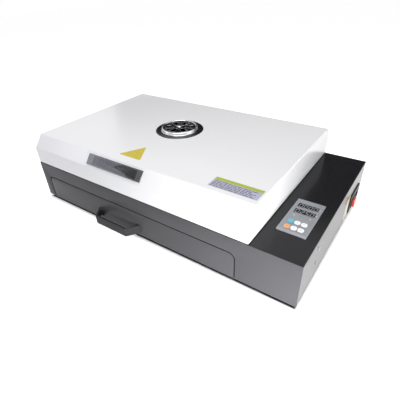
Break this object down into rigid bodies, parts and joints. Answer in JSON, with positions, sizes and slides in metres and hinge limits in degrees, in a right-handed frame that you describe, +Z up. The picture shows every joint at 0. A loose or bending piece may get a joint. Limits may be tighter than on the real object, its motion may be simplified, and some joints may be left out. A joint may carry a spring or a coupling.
{
  "type": "reflow oven",
  "caption": "Bench-top drawer reflow oven with a white insulated hood, dark steel case, quartz heaters, sliding board tray, round roof vent, sight window and a keypad strip.",
  "frame": {"origin": "centre of the whole oven's box, on the bench under the feet", "axes": "+X to the right across the width, -Y out of the drawer front, +Z up"},
  "size_m": [0.731, 0.4584, 0.1887],
  "materials": {
    "case_front": "semi-gloss grey powder coat",
    "case_side": "semi-gloss dark grey powder coat",
    "hood_white": "satin white powder coat",
    "zinc_sheet": "aluminised steel, faint grain",
    "slide_steel": "zinc-plated rolled steel",
    "chrome": "polished chrome plate",
    "screw_steel": "nickel-plated",
    "aluminium": "extruded, matt",
    "tinted_glass": "smoked, polished",
    "quartz": "milky quartz",
    "ceramic": "white steatite ceramic, matt",
    "fibre": "ceramic fibre blanket",
    "gasket_cord": "woven glass fibre",
    "silicone": "black silicone",
    "rubber": "black rubber",
    "panel_grey": "satin grey overlay",
    "display_black": "smoked display window",
    "board_green": "solder mask",
    "key_cyan": "satin",
    "key_white": "satin",
    "key_orange": "satin",
    "black_plastic": "moulded, fine grain",
    "red_plastic": "polished translucent red",
    "brass": "bright",
    "relay_cream": "moulded",
    "label_film": "printed film"
  },
  "bodies": {
    "cabinet": {"base_pan": "case_side", "front_panel": "case_front", "left_panel": "case_side", "right_cover": "case_side", "rear_panel": "case_side", "deck_plate": "case_side", "hood": "hood_white", "case_screws": "screw_steel", "feet": "rubber", "bulkhead": "zinc_sheet", "mouth_frame": "zinc_sheet", "chamber_floor": "zinc_sheet", "chamber_shell": "zinc_sheet", "chamber_roof": "zinc_sheet", "insulation": "fibre", "reflector": "aluminium", "heater_brackets": "zinc_sheet", "heater_tubes": "quartz", "heater_caps": "ceramic", "thermocouples": "screw_steel", "fan_baffle": "zinc_sheet", "fan_motor": "slide_steel", "exhaust_collar": "zinc_sheet", "vent_flange": "chrome", "vent_disc": "chrome", "window_gasket": "silicone", "window_glass": "tinted_glass", "window_tunnel": "zinc_sheet", "outer_slides": "slide_steel", "control_panel": "panel_grey", "control_board": "board_green", "displays": "display_black", "cooling_fan_frame": "black_plastic", "fan_guard": "screw_steel", "power_entry": "black_plastic", "inlet_pins": "brass", "power_supply": "aluminium", "heatsink": "aluminium", "relays": "relay_cream", "terminal_block": "relay_cream", "labels": "label_film"},
    "drawer": {"drawer_front": "case_front", "drawer_inner_plate": "zinc_sheet", "drawer_gasket": "gasket_cord", "drawer_tray": "zinc_sheet", "board_rack": "chrome", "handle": "case_front", "handle_screws": "screw_steel", "inner_slides": "slide_steel"},
    "slide_middles": {"middle_slides": "slide_steel"},
    "shutter": {"vent_shutter": "chrome"},
    "impeller_rotor": {"impeller": "aluminium"},
    "cooling_rotor": {"cooling_fan_rotor": "black_plastic"},
    "power_rocker": {"rocker": "red_plastic"},
    "key_1_cap": {"key_1": "key_cyan"},
    "key_2_cap": {"key_2": "key_white"},
    "key_3_cap": {"key_3": "key_white"},
    "key_4_cap": {"key_4": "key_orange"},
    "key_5_cap": {"key_5": "key_white"},
    "key_6_cap": {"key_6": "key_white"}
  },
  "joints": [
    {"name": "drawer_slide", "type": "slide", "parent": "cabinet", "child": "drawer", "axis": [0, -1, 0], "range_m": [0, 0.32]},
    {"name": "slide_middles_travel", "type": "slide", "parent": "cabinet", "child": "slide_middles", "axis": [0, -1, 0], "range_m": [0, 0.16]},
    {"name": "vent_turn", "type": "hinge", "parent": "cabinet", "child": "shutter", "pos_m": [-0.06312, 0.0268, 0.1845], "axis": [0, 0, 1], "range_deg": [0, 30]},
    {"name": "impeller_spin", "type": "hinge", "parent": "cabinet", "child": "impeller_rotor", "pos_m": [0.24588, 0.1008, 0.083], "axis": [1, 0, 0], "continuous": true},
    {"name": "cooling_fan_spin", "type": "hinge", "parent": "cabinet", "child": "cooling_rotor", "pos_m": [0.29788, 0.2108, 0.056], "axis": [0, 1, 0], "continuous": true},
    {"name": "rocker_tilt", "type": "hinge", "parent": "cabinet", "child": "power_rocker", "pos_m": [0.35638, 0.1448, 0.039], "axis": [0, 0, -1], "range_deg": [0, 24]},
    {"name": "key_1_press", "type": "slide", "parent": "cabinet", "child": "key_1_cap", "axis": [0, 0, -1], "range_m": [0, 0.0009], "stiffness_N_per_m": 400},
    {"name": "key_2_press", "type": "slide", "parent": "cabinet", "child": "key_2_cap", "axis": [0, 0, -1], "range_m": [0, 0.0009], "stiffness_N_per_m": 400},
    {"name": "key_3_press", "type": "slide", "parent": "cabinet", "child": "key_3_cap", "axis": [0, 0, -1], "range_m": [0, 0.0009], "stiffness_N_per_m": 400},
    {"name": "key_4_press", "type": "slide", "parent": "cabinet", "child": "key_4_cap", "axis": [0, 0, -1], "range_m": [0, 0.0009], "stiffness_N_per_m": 400},
    {"name": "key_5_press", "type": "slide", "parent": "cabinet", "child": "key_5_cap", "axis": [0, 0, -1], "range_m": [0, 0.0009], "stiffness_N_per_m": 400},
    {"name": "key_6_press", "type": "slide", "parent": "cabinet", "child": "key_6_cap", "axis": [0, 0, -1], "range_m": [0, 0.0009], "stiffness_N_per_m": 400}
  ],
  "couplings": [
    {"joint": "slide_middles_travel", "follows": "drawer_slide", "ratio": 0.5}
  ]
}
